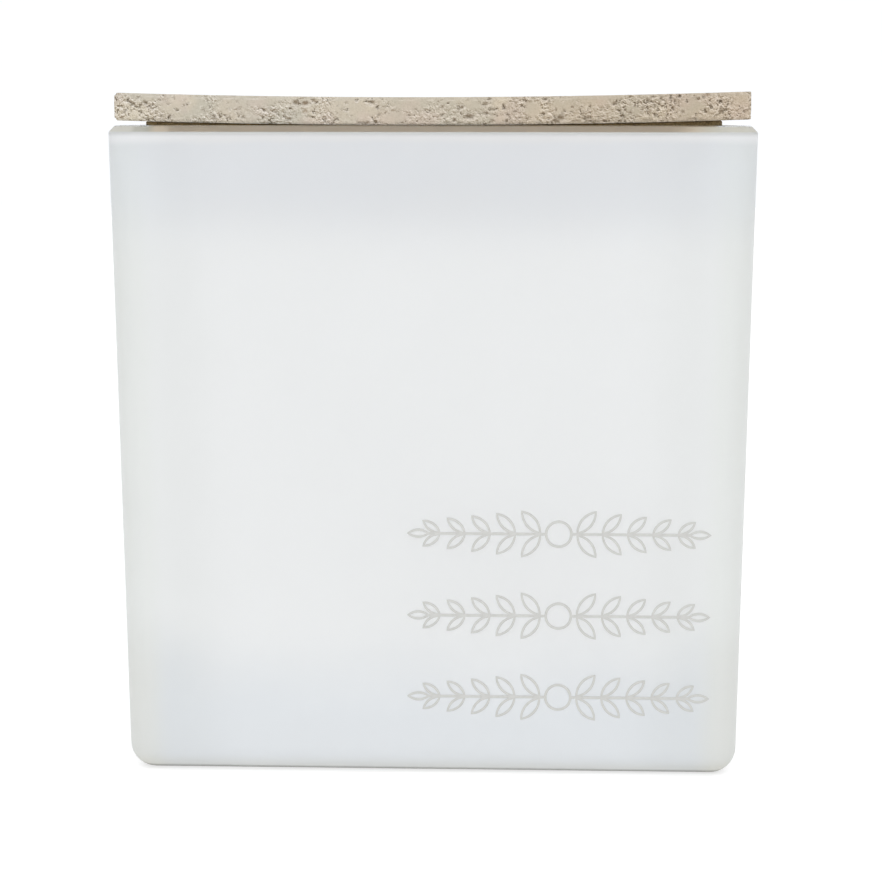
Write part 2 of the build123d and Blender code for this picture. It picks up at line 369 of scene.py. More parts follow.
def bevel_glass():
    """The ground bevel: glass under a grey-green haze, thin along the middle, where
    the lid's seat and seal show through it, and denser at the solid corners. The
    haze is painted beige along the middle, a painted reflection of the stone seat,
    with painted shade where the seat ends."""
    m = Mat("bevel_glass")
    co = m.coords()
    x, y, z = m.xyz()
    ripple = m.noise(co, 90.0, 2.0, 0.5)
    grain = m.noise(co, 1500.0, 2.0, 0.6)
    bump = m.bump(grain, 0.15, 0.00012, m.bump(ripple, 0.25, 0.0004))
    glass = m.principled((0.995, 0.945, 0.872), m.math("ADD", 0.45, m.math("MULTIPLY", grain, 0.1)), bump,
                         Transmission_Weight=1.0, IOR=1.45)
    along = m.math("MINIMUM", m.math("ABSOLUTE", x), m.math("ABSOLUTE", y))
    along = m.math("ADD", along, m.math("MULTIPLY", m.math("SUBTRACT", m.noise(co, 60.0, 2.0, 0.5), 0.5), 0.012))
    # painted reflection of the beige stone seat along the middle, painted shade where the seat ends
    veil = m.mix(m.ramp(along, 0.0650, 0.0680), VEIL_MID_STONE_REFLECTION, VEIL_SHOULDER_SHADE)
    veil = m.mix(m.ramp(along, 0.0707, 0.0725), veil, VEIL_END)
    # at the right of the front the haze is paler and reaches further in
    front = m.ramp(y, -0.068, -0.071)
    veil = m.mix(m.math("MULTIPLY", m.ramp(x, 0.0590, 0.0660), front), veil, VEIL_END)
    veil = m.mix(m.noise(co, 260.0, 3.0, 0.55), veil, m.mix(0.06, veil, (1.0, 1.0, 1.0)))
    thick = m.ramp(along, 0.0600, 0.0645, 0.16, 0.66)
    thick = m.math("MAXIMUM", thick, m.math("MULTIPLY", m.ramp(x, 0.0525, 0.0640, 0.0, 0.82), front))
    mix = m.node("ShaderNodeMixShader")
    m.link(thick, mix.inputs[0])
    m.link(glass, mix.inputs[1])
    m.link(m.principled(veil, 0.5, bump), mix.inputs[2])
    return m.finish(mix.outputs[0])


def wax_material():
    m = Mat("candle_wax")
    co = m.coords()
    mottle = m.noise(co, 60.0, 4.0, 0.55)
    frost = m.noise(co, 420.0, 3.0, 0.6, 0.4)
    tone = m.mix(m.ramp(mottle, 0.35, 0.7), (0.955, 0.945, 0.915), (0.970, 0.962, 0.940))
    tone = m.mix(m.ramp(frost, 0.55, 0.75, 0.0, 0.35), tone, (0.98, 0.975, 0.965))
    rough = m.ramp(mottle, 0.2, 0.8, 0.38, 0.55)
    bump = m.bump(frost, 0.25, 0.0002, m.bump(mottle, 0.4, 0.0006))
    return m.finish(m.principled(
        tone, rough, bump, Subsurface_Weight=0.35,
        Subsurface_Radius=(0.004, 0.0035, 0.003), Subsurface_Scale=1.0))


def cotton():
    m = Mat("wick_cotton")
    co = m.coords()
    fibre = m.noise(m.coords((1, 1, 0.15)), 5200.0, 2.0, 0.6)
    stain = m.noise(co, 300.0, 2.0)
    tone = m.mix(m.ramp(stain, 0.3, 0.7), (0.80, 0.76, 0.66), (0.88, 0.85, 0.78))
    tone = m.mix(m.ramp(fibre, 0.35, 0.65, 0.0, 0.35), tone, (0.62, 0.57, 0.46))
    bump = m.bump(fibre, 0.5, 0.00015)
    return m.finish(m.principled(tone, 0.8, bump, Sheen_Weight=0.3))


def tinned_steel():
    m = Mat("tinned_steel")
    co = m.coords()
    scratch = m.noise(m.coords((1, 14, 1)), 900.0, 3.0, 0.6)
    tone = m.mix(m.noise(co, 220.0, 2.0), (0.58, 0.58, 0.57), (0.72, 0.72, 0.71))
    rough = m.ramp(scratch, 0.3, 0.7, 0.22, 0.4)
    return m.finish(m.principled(tone, rough, m.bump(scratch, 0.15, 0.0001), Metallic=1.0))


def foam_pad():
    m = Mat("foam_pad")
    co = m.coords()
    cells = m.voronoi(co, 2600.0)
    tone = m.mix(m.ramp(cells, 0.1, 0.6), (0.78, 0.78, 0.76), (0.86, 0.86, 0.84))
    return m.finish(m.principled(tone, 0.85, m.bump(cells, 0.5, 0.0001)))


def stone(name, bonded=False):
    """Light travertine-like stone: clouded beige, granular, with small uneven
    pits in clusters and pale crystals. Vertex attributes for the pits, their
    lips, the tilt and how busy it is say where the mesh itself is pitted and
    which way it leans, and calm says where the stone is dense and smooth. The
    pits get painted shade, their lower lips painted highlight."""
    m = Mat(name)
    co = m.coords()
    x, y, z = m.xyz()
    # height above the slab's underside, following its bow
    rise = m.math("MULTIPLY", m.math("POWER", m.math("ADD", x, -LID_BOW_X * MM), 2.0),
                  LID_BOW / (LID_W / 2) ** 2 / MM)
    level = m.math("SUBTRACT", z, rise)
    soft = m.warp(co, 55.0, 0.010)
    cloud = m.noise(soft, 60.0, 3.0, 0.5)
    patch = m.noise(soft, 120.0, 3.0, 0.5, 0.3)
    pink = m.noise(m.warp(co, 80.0, 0.006), 82.0, 2.0, 0.5)
    tone = m.mix(m.ramp(cloud, 0.38, 0.62), STONE_GREY, STONE_CREAM)
    tone = m.mix(m.ramp(patch, 0.52, 0.66, 0.0, 0.50), tone, STONE_PALE)
    tone = m.mix(m.ramp(pink, 0.50, 0.64, 0.0, 0.48), tone, STONE_PINK)
    # where the stone is open-grained and where it is dense
    calm = m.math("SUBTRACT", 1.0, m.attribute("calm"))
    # the band along the top arris and over the top face has fewer pits
    upper_band = m.ramp(level, (JAR_H + LID_GAP + 5.2) * MM, (JAR_H + LID_GAP + 6.0) * MM)
    upper_band = m.math("MULTIPLY", upper_band, m.ramp(m.noise(co, 140.0, 2.0, 0.5), 0.62, 0.44))
    busy = m.ramp(m.noise(soft, 95.0, 2.0, 0.5), 0.36, 0.54, 0.24, 1.0)
    busy = m.math("MULTIPLY", busy, calm)
    busy = m.math("MULTIPLY", busy, m.math("SUBTRACT", 1.0, m.math("MULTIPLY", upper_band, 0.8)))
    busy = m.math("MULTIPLY", busy, m.ramp(m.math("ABSOLUTE", m.math("ADD", x, -0.002)), 0.006, 0.018, 0.62, 1.0))
    busy = m.math("MAXIMUM", busy, m.math("MULTIPLY", m.attribute("busy"), 0.8))
    # painted highlight along the top arris and over the top face
    tone = m.mix(m.math("MULTIPLY", upper_band, 0.6), tone, STONE_ARRIS_HIGHLIGHT)
    # the grain is one height field; its slopes get painted shade and painted highlight as if lit from above
    grain_at = m.warp(co, 700.0, 0.0008, 3.0)
    lift = m.node("ShaderNodeVectorMath", operation="ADD")
    m.link(grain_at, lift.inputs[0])
    lift.inputs[1].default_value = (0.00005, 0.0, 0.00017)
    grain = m.noise(grain_at, 1250.0, 3.0, 0.62)
    above = m.noise(lift.outputs[0], 1250.0, 3.0, 0.62)
    slope = m.math("SUBTRACT", grain, above)
    size = m.noise(co, 420.0, 2.0, 0.5)
    brink = m.math("ADD", 0.300, m.math("MULTIPLY", m.math("SUBTRACT", size, 0.5), 0.34))
    brink = m.math("ADD", brink, m.math("MULTIPLY", busy, 0.085))
    pits = m.ramp(m.math("SUBTRACT", grain, brink), 0.020, -0.040)
    pits = m.math("MULTIPLY", pits, m.ramp(busy, 0.08, 0.5))
    fine = m.noise(co, 2600.0, 2.0, 0.65)
    tone = m.mix(m.math("MULTIPLY", m.ramp(slope, 0.005, -0.115), m.math("MULTIPLY", busy, 0.92)), tone, STONE_DARK_SPECK_AND_SHADE)
    tone = m.mix(m.math("MULTIPLY", m.ramp(slope, 0.010, 0.125), m.math("MULTIPLY", busy, 0.92)), tone, STONE_PALE_SPECK_AND_HIGHLIGHT)
    tone = m.mix(m.math("MULTIPLY", m.ramp(fine, 0.47, 0.30), m.math("ADD", 0.17, m.math("MULTIPLY", busy, 0.33))), tone, STONE_DARK_SPECK_AND_SHADE)
    tone = m.mix(m.math("MULTIPLY", m.ramp(fine, 0.55, 0.72), m.math("ADD", 0.14, m.math("MULTIPLY", busy, 0.30))), tone, STONE_PALE_SPECK_AND_HIGHLIGHT)
    # worm tracks: broken curved ridges with a painted highlight on one side
    lines = m.math("SUBTRACT", m.noise(m.warp(co, 200.0, 0.003), 300.0, 2.0, 0.5), 0.5)
    here = m.math("MAXIMUM", m.ramp(m.noise(co, 64.0, 2.0, 0.5), 0.52, 0.62), m.ramp(x, 0.057, 0.064))
    here = m.math("MULTIPLY", here, m.ramp(m.noise(co, 420.0, 2.0, 0.5), 0.44, 0.56))
    here = m.math("MULTIPLY", here, calm)
    tracks = m.math("MULTIPLY", m.ramp(m.math("ABSOLUTE", lines), 0.026, 0.006), here)
    sides = m.math("MULTIPLY", m.ramp(m.math("ABSOLUTE", m.math("ADD", lines, 0.042)), 0.026, 0.008), here)
    tone = m.mix(m.math("MULTIPLY", sides, 0.40), tone, STONE_PALE_SPECK_AND_HIGHLIGHT)
    # painted highlight on the lower rims of the mesh's pits
    tone = m.mix(m.math("MULTIPLY", m.attribute("lip_highlight"), 0.40), tone, STONE_PALE_SPECK_AND_HIGHLIGHT)
    # painted shade in the small pits and along the worm tracks
    dark = m.math("MAXIMUM", m.math("MULTIPLY", pits, 0.75), m.math("MULTIPLY", tracks, 0.50))
    tone = m.mix(dark, tone, STONE_PIT_SHADE)
    # painted shade in the mesh's own pits, tinted rust in places
    pit_shade = m.attribute("pit_shade")
    rust = m.ramp(m.noise(co, 130.0, 2.0, 0.5), 0.54, 0.64)
    rust = m.math("MAXIMUM", rust, m.ramp(m.math("ABSOLUTE", m.math("ADD", x, 0.0285)), 0.0034, 0.0018))
    tone = m.mix(m.math("MULTIPLY", pit_shade, 0.72), tone, m.mix(rust, STONE_PIT_SHADE, STONE_RUST))
    tilt = m.attribute("tilt")
    # painted shade where the mesh leans down and painted highlight where it leans up
    tone = m.mix(m.ramp(tilt, -0.02, -0.55, 0.0, 0.45), tone, STONE_DARK_SPECK_AND_SHADE)
    tone = m.mix(m.ramp(tilt, 0.04, 0.60, 0.0, 0.38), tone, STONE_PALE_SPECK_AND_HIGHLIGHT)
    # the stone is painted a little warmer and duller from the left of the middle towards the right
    tone = m.mix(m.ramp(x, -0.024, -0.006), tone, STONE_RIGHTWARD_WARM, blend="MULTIPLY")
    tone = m.mix(m.ramp(x, -0.004, 0.048), tone, STONE_RIGHTWARD_DULL, blend="MULTIPLY")
    if bonded:
        tone = m.mix(0.5, tone, STONE_PLATE)
        # a thin dark line along the adhesive joint under the slab, mostly painted shade of the narrow gap above the
        # rim
        gap = m.math("ADD", level, m.math("MULTIPLY", m.math("SUBTRACT", fine, 0.5), 0.0004))
        glue_and_shade = m.math("MAXIMUM", m.ramp(gap, (JAR_H - 0.55) * MM, (JAR_H - 0.2) * MM),
                      m.ramp(z, (JAR_H - 0.15) * MM, (JAR_H + 0.05) * MM))
        tone = m.mix(glue_and_shade, tone, m.mix(m.ramp(fine, 0.35, 0.65), GLUE_LINE_AND_SHADE, tuple(c * 0.6 for c in GLUE_LINE_AND_SHADE)))
    height = m.math("MULTIPLY", grain, 0.8)
    height = m.math("ADD", height, m.math("MULTIPLY", fine, 0.25))
    height = m.math("SUBTRACT", height, m.math("MULTIPLY", dark, 0.5))
    rough = m.ramp(grain, 0.2, 0.8, 0.60, 0.85)
    return m.finish(m.principled(tone, rough, m.bump(height, 0.8, 0.00045), Specular_IOR_Level=0.35))


def silicone():
    m = Mat("silicone")
    co = m.coords()
    haze = m.noise(co, 260.0, 3.0, 0.5)
    tone = m.mix(haze, (0.740, 0.590, 0.425), (0.810, 0.670, 0.505))
    return m.finish(m.principled(tone, 0.42, m.bump(haze, 0.15, 0.0002), Subsurface_Weight=0.2,
                                 Subsurface_Radius=(0.002, 0.002, 0.002), Subsurface_Scale=1.0))


def print_ink():
    """The warm grey of the printed lines, a little uneven as a screen print is."""
    m = Mat("print")
    co = m.coords()
    uneven = m.noise(co, 900.0, 3.0, 0.6)
    tone = m.mix(m.ramp(uneven, 0.3, 0.7), (0.525, 0.520, 0.492), (0.570, 0.565, 0.538))
    return m.finish(m.principled(tone, m.ramp(uneven, 0.2, 0.8, 0.42, 0.6), m.bump(uneven, 0.2, 0.00005)))


def pale_floor():
    m = Mat("pale_floor")
    co = m.coords()
    tone = m.mix(m.noise(co, 6.0, 2.0), (0.44, 0.44, 0.44), (0.46, 0.46, 0.46))
    return m.finish(m.principled(tone, 0.9, None, Specular_IOR_Level=0.0,
                                 Emission_Color=(1, 1, 1, 1), Emission_Strength=0.64))


SKIN = frosted_glass()
RIM_GLASS = clear_glass("rim_glass", 1.45, 0.22, (0.985, 0.985, 0.975))
BEVEL_GLASS = bevel_glass()
WET_GLASS = clear_glass("glass_on_wax", 1.06, 0.08, (0.985, 0.992, 0.990))
INNER_GLASS = clear_glass("inner_glass", 1.45, 0.06, (0.970, 0.988, 0.990))
WAX = wax_material()
COTTON = cotton()
STEEL = tinned_steel()
FOAM = foam_pad()
STONE = stone("travertine")
STONE_BONDED = stone("travertine_plate", bonded=True)
SILICONE = silicone()
INK = print_ink()


# ---------------------------------------------------------------------- glass jar
def jar():
    n_side, n_corner = 48, 14
    prof = []          # (half width, corner radius, z, zone)
    # underside
    hw0 = half_w(0) - FOOT_R
    for k in (0.02, 0.15, 0.35, 0.6, 0.85, 0.97):
        prof.append((hw0 * k, max(EDGE_R - FOOT_R, 0.8) * k, 0.0, 0))
    # foot
    for x, z in arc(0, FOOT_R, FOOT_R, -90, 0, 9):
        off = FOOT_R - x
        prof.append((half_w(z) - off, EDGE_R - off, z, 0))
    # sides
    z_low, z_high = FOOT_R + 0.4, JAR_H - BEVEL - BEVEL_LOW_R - 0.3
    for z in np.linspace(z_low, z_high, 52):
        prof.append((half_w(z), EDGE_R, z, 0))
    # bevel, softened at both edges
    e = BEVEL_LOW_R * math.tan(math.radians(22.5))
    hb = half_w(JAR_H - BEVEL)
    for x, z in arc(hb - BEVEL_LOW_R, JAR_H - BEVEL - e, BEVEL_LOW_R, 0, 45, 5):
        prof.append((x, EDGE_R - (hb - x), z, 0))
    et = BEVEL_TOP_R * math.tan(math.radians(22.5))
    cxt = TOP_W / 2 - BEVEL - et
    for x, z in arc(cxt, JAR_H - BEVEL_TOP_R, BEVEL_TOP_R, 45, 90, 6):
        prof.append((x, EDGE_R - (TOP_W / 2 - x), z, 4 if z < JAR_H - 0.2 else 1))
    # flat of the rim, then the inside rounding
    inner = TOP_W / 2 - WALL
    prof.append((inner + RIM_IN + 0.2, CAV_R_TOP + RIM_IN + 0.2, JAR_H, 1))
    for x, z in arc(inner + RIM_IN, JAR_H - RIM_IN, RIM_IN, 90, 180, 8):
        prof.append((x - (JAR_H - z) * DRAFT, CAV_R_TOP + (x - inner), z, 1))
    # cavity wall: bare above the wax, wetted by it below
    for z in np.linspace(JAR_H - RIM_IN - 0.5, WAX_LEVEL + 0.4, 12):
        prof.append((half_w(z) - WALL, cav_r(z), z, 3))
    for z in np.linspace(WAX_LEVEL - 0.4, FLOOR_T + CAV_FLOOR_R + 0.3, 34):
        prof.append((half_w(z) - WALL, cav_r(z), z, 2))
    for x, z in arc(0, FLOOR_T + CAV_FLOOR_R, CAV_FLOOR_R, 0, -90, 10):
        off = CAV_FLOOR_R - x
        prof.append((half_w(z) - WALL - off, cav_r(z) - off, z, 2))
    last = prof[-1][0]
    for k in (0.97, 0.8, 0.5, 0.25, 0.05):
        prof.append((last * k, 2.0 * k, FLOOR_T, 2))
    rings = []
    for hw, r, z, _ in prof:
        p = ring(hw, r, n_side, n_corner)
        rings.append(np.c_[p, np.full(len(p), z)])
    verts, faces, row = loft(rings, first=(0, 0, 0), last=(0, 0, FLOOR_T))
    verts = np.array(verts)
    # pressed glass is never quite flat: broad waves of a few hundredths
    for i, v in enumerate(verts):
        if 8 < v[2] < JAR_H - 4 and max(abs(v[0]), abs(v[1])) > half_w(v[2]) - 3:
            w = noise.noise(Vector(v) / 45.0) * 0.05 * min(1, (JAR_H - 4 - v[2]) / 10, (v[2] - 8) / 10)
            d = np.array([v[0], v[1], 0.0])
            verts[i] -= d / np.linalg.norm(d) * abs(w)
    zone = [prof[max(0, min(k + 1, len(prof) - 1))][3] if k >= 0 else 0 for k in row]
    obj = make_object("glass_jar", verts * MM, faces, [SKIN, RIM_GLASS, WET_GLASS, INNER_GLASS, BEVEL_GLASS], zone)
    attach(obj, "vessel")
    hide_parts("glass_vessel")
    return obj


# ---------------------------------------------------------------------------- wax
def wax():
    n_side, n_corner = 40, 12
    g = WAX_GAP
    rings = []
    first = half_w(FLOOR_T) - WALL - g - CAV_FLOOR_R
    for k in (0.05, 0.3, 0.6, 0.9):
        p = ring(first * k, 2.0 * k, n_side, n_corner)
        rings.append(np.c_[p, np.full(len(p), FLOOR_T + g)])
    for x, z in arc(0, FLOOR_T + g + CAV_FLOOR_R, CAV_FLOOR_R, -90, 0, 8):
        off = CAV_FLOOR_R - x
        p = ring(half_w(z) - WALL - g - off, cav_r(z) - g - off, n_side, n_corner)
        rings.append(np.c_[p, np.full(len(p), z)])
    for z in np.linspace(FLOOR_T + CAV_FLOOR_R + 3, WAX_LEVEL + 0.8, 30):
        p = ring(half_w(z) - WALL - g, cav_r(z) - g, n_side, n_corner)
        rings.append(np.c_[p, np.full(len(p), z)])
    edge = half_w(WAX_LEVEL) - WALL - g
    for d in [0.12, 0.3, 0.6, 1.0, 1.6, 2.4, 3.4, 4.6, 6.0] + list(np.linspace(7.5, edge - 1.5, 42)):
        p = ring(edge - d, min(max(cav_r(WAX_LEVEL) - d * 0.6, 2.0), 0.6 * (edge - d)), n_side, n_corner)
        z = np.empty(len(p))
        for i, (x, y) in enumerate(p):
            climb = 1.1 * math.exp(-d / 1.5)
            near = min(math.hypot(x - sx * WICK_AT, y - sy * WICK_AT) for sx in (-1, 1) for sy in (-1, 1))
            climb += 0.55 * math.exp(-max(near - WICK_R, 0) / 1.1)
            dip = -0.35 * math.exp(-((near - 9) / 7) ** 2)
            broad = 0.28 * noise.noise(Vector((x / 26, y / 26, 3.1))) + 0.07 * noise.noise(Vector((x / 6, y / 6, 8.2)))
            z[i] = WAX_LEVEL - 0.25 + climb + dip + broad
        rings.append(np.c_[p, z])
    verts, faces, row = loft(rings, first=(0, 0, FLOOR_T + g), last=(0, 0, WAX_LEVEL - 0.25))
    obj = make_object("wax_body", np.array(verts) * MM, faces, [WAX])
    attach(obj, "vessel")
    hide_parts("wax_fill")
    return obj


# -------------------------------------------------------------------------- wicks
def wick(i, x0, y0):
    """Braided cotton: eight flat strands, four turning each way, over a core."""
    rng = np.random.default_rng(40 + i)
    lean = rng.uniform(-0.5, 0.5, 2)
    around = 40
    zs = list(np.linspace(WICK_FOOT, WAX_LEVEL - 2, 12)) + list(np.linspace(WAX_LEVEL - 1.6, WICK_TOP - 0.15, 90))
    rings = []
    for z in zs:
        t = np.arange(around) / around * 2 * math.pi
        turn = z / 5.2 * 2 * math.pi
        a = np.cos(4 * t - turn)
        b = np.cos(4 * t + turn)
        over = np.where(np.sin(8 * t) * np.sin(2 * turn) > 0, a, b)
        rad = WICK_R * (0.90 + 0.085 * np.abs(over))
        k = max(0, (z - WAX_LEVEL) / (WICK_TOP - WAX_LEVEL))
        if z > WICK_TOP - 0.7:
            rad = rad * (1 - 0.35 * (z - WICK_TOP + 0.7) / 0.7)
        cx, cy = x0 + lean[0] * k * k, y0 + lean[1] * k * k
        rings.append(np.c_[cx + rad * np.cos(t), cy + rad * np.sin(t) * 0.96, np.full(around, z)])
    verts, faces, _ = loft(rings, first=(x0, y0, WICK_FOOT), last=(x0 + lean[0], y0 + lean[1], WICK_TOP))
    # a few stray fibres at the cut end
    for _ in range(14):
        a, r = rng.uniform(0, 2 * math.pi), rng.uniform(0.2, 1.1)
        bx, by = x0 + lean[0] + r * math.cos(a), y0 + lean[1] + r * math.sin(a)
        ex, ey = bx + 0.35 * math.cos(a), by + 0.35 * math.sin(a)
        base = len(verts)
        for (px, py, pz, w) in ((bx, by, WICK_TOP - 0.7, 0.07), (ex, ey, WICK_TOP - rng.uniform(0.0, 0.25), 0.02)):
            for c in range(3):
                q = 2 * math.pi * c / 3
                verts.append((px + w * math.cos(q), py + w * math.sin(q), pz))
        for c in range(3):
            d = (c + 1) % 3
            faces.append((base + c, base + d, base + 3 + d, base + 3 + c))
        faces.append((base + 3, base + 4, base + 5))
        faces.append((base + 2, base + 1, base))
    obj = make_object(f"braided_wick_{i}", np.array(verts) * MM, faces, [COTTON])
    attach(obj, "vessel")
    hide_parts(f"wick_{i}")
    return obj


# ---------------------------------------------------------------- stone meshes
# dense, smooth places along the slab's front edge:
# along x, height in the edge, half length, half height
FRONT_CALM = [
    (-57.5, 3.8, 6.0, 2.4), (-46.0, 4.0, 3.6, 2.4), (-66.5, 6.0, 3.0, 1.4), (-40.0, 5.4, 4.5, 1.5),
    (-17.0, 4.0, 6.5, 2.6), (-5.0, 5.2, 4.5, 1.8), (4.0, 5.6, 2.6, 1.2), (23.5, 3.4, 2.0, 1.8),
    (30.5, 4.4, 2.6, 1.7), (38.5, 5.6, 2.4, 0.9), (46.5, 2.6, 2.0, 1.2), (60.5, 3.4, 2.6, 1.5), (-8.5, 1.8, 3.0, 1.3),
    (9.5, 4.6, 2.4, 1.0), (14.8, 1.2, 2.2, 1.0),
]
# pits worth placing one by one along the slab's front edge:
# along x, height in the edge, half length, half height, turn (degrees), depth
FRONT_PITS = [
    (-70.7, 4.9, 0.7, 0.35, 35, 0.45), (-69.3, 3.9, 0.9, 0.5, -20, 0.55), (-68.1, 5.5, 0.6, 0.4, 10, 0.4),
    (-66.5, 4.3, 1.1, 0.45, -35, 0.5), (-71.4, 2.1, 0.9, 0.35, 40, 0.45), (-67.6, 2.1, 0.5, 0.7, 15, 0.5),
    (-65.3, 3.3, 0.5, 0.3, -45, 0.35), (-63.0, 1.3, 0.6, 0.35, 0, 0.4), (-59.2, 2.8, 0.9, 0.3, -18, 0.5),
    (-60.9, 1.2, 0.7, 0.45, 60, 0.4), (-57.4, 3.9, 0.7, 0.22, 20, 0.3), (-61.8, 4.9, 0.4, 0.3, 0, 0.3),
    (-50.6, 1.2, 0.8, 0.5, 10, 0.4), (-47.5, 1.0, 0.5, 0.4, 0, 0.4), (-43.8, 1.4, 0.9, 0.4, 25, 0.4),
    (-36.0, 2.6, 0.6, 0.4, -30, 0.35), (-33.0, 1.1, 1.1, 0.5, 0, 0.45), (-29.2, 4.8, 1.3, 0.75, 20, 0.6),
    (-27.4, 5.5, 0.8, 0.5, -30, 0.5), (-24.6, 1.3, 0.6, 0.4, 0, 0.4), (-19.5, 3.4, 0.5, 0.35, 0, 0.35),
    (-12.0, 2.3, 0.6, 0.4, 0, 0.35), (-3.5, 3.6, 0.5, 0.3, 0, 0.3),
    (6.5, 3.6, 0.6, 0.35, 45, 0.45), (5.4, 1.0, 0.7, 0.5, 20, 0.5), (2.6, 2.2, 0.45, 0.35, 0, 0.4),
    (8.9, 1.75, 1.7, 0.65, 0, 0.6), (12.8, 2.55, 1.5, 0.4, -4, 0.6), (13.6, 6.0, 0.7, 0.45, 0, 0.6),
    (12.7, 4.7, 1.1, 0.7, 30, 0.35), (16.9, 4.1, 0.9, 0.45, -60, 0.55), (17.8, 2.4, 0.7, 0.35, -35, 0.55),
    (19.6, 3.1, 0.8, 0.25, 5, 0.4), (22.5, 1.2, 0.7, 0.5, 0, 0.35), (26.6, 5.8, 1.0, 0.45, 8, 0.5),
    (31.0, 3.0, 0.5, 0.35, 0, 0.35), (36.2, 1.4, 0.6, 0.3, 0, 0.35), (42.5, 4.4, 0.8, 0.5, -10, 0.5),
    (39.4, 3.0, 0.5, 0.3, 30, 0.35), (46.2, 2.2, 0.6, 0.4, 0, 0.4), (50.3, 4.9, 0.8, 0.28, -25, 0.5),
    (51.6, 3.9, 0.7, 0.25, -60, 0.45), (52.4, 2.7, 0.4, 0.3, -60, 0.4), (51.3, 5.9, 0.7, 0.45, 0, 0.5),
    (53.2, 5.5, 0.6, 0.4, 20, 0.45), (55.4, 5.4, 0.9, 0.4, -25, 0.55), (56.4, 4.7, 0.5, 0.45, -60, 0.5),
    (57.4, 5.8, 0.7, 0.45, 10, 0.6), (54.7, 1.5, 0.45, 0.4, 0, 0.5), (52.0, 1.8, 0.5, 0.25, 0, 0.4),
    (56.0, 3.2, 0.6, 0.3, 20, 0.4), (58.3, 2.3, 0.7, 0.45, -20, 0.3), (62.0, 5.0, 0.8, 0.2, -12, 0.4),
    (66.7, 4.5, 0.9, 0.25, -15, 0.45), (68.6, 3.6, 0.5, 0.4, 50, 0.4), (70.6, 5.6, 0.4, 0.3, 0, 0.35),
]


